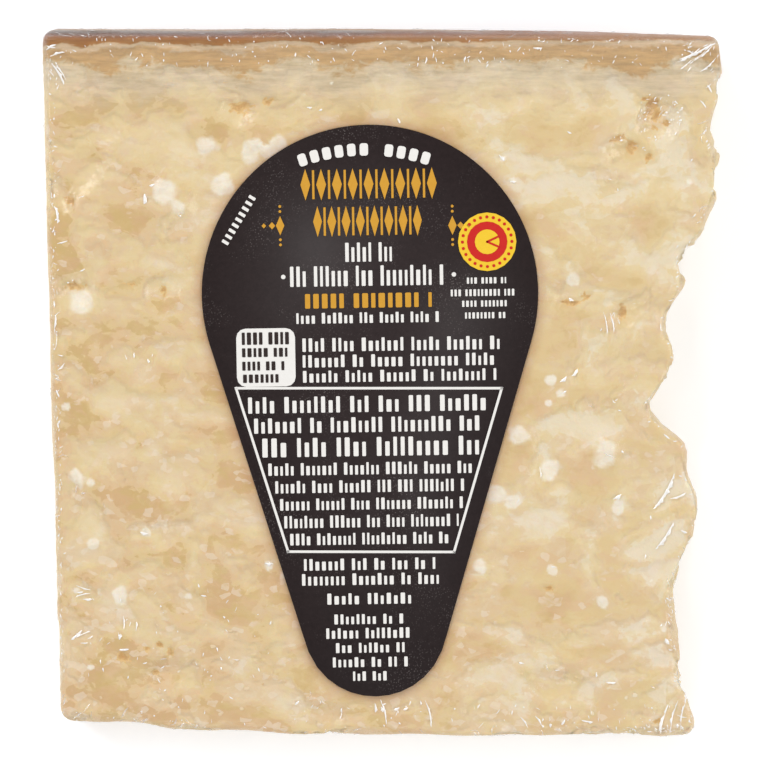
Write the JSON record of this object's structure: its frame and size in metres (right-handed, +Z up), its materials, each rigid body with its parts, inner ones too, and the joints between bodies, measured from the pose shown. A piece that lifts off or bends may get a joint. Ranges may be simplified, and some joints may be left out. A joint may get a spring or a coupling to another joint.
{
  "type": "parmesan chunk",
  "caption": "Wedge-cut chunk of hard aged cheese with rind at its thick end, sealed in tight clear film, with a dark teardrop label on its upper face.",
  "frame": {"origin": "middle of the object's box in plan, at the height of the surface it rests on", "axes": "+Z up, out of the labelled broad face; +Y towards the rind at the thick end; +X towards the side that was broken open"},
  "size_m": [0.1216, 0.1292, 0.0317],
  "materials": {
    "cheese": "crumbly pale straw paste of an aged hard cheese, with white crystals and a tan rind edge",
    "film": "clear glossy shrink film, thin and tight, wrinkled at edges and corners",
    "label_paper": "satin near-black coated paper",
    "print_gold": "flat gold-yellow ink",
    "print_white": "flat white ink",
    "print_red": "flat red ink"
  },
  "bodies": {
    "root": {"cheese_in_film": "cheese", "label": "label_paper"}
  },
  "joints": []
}
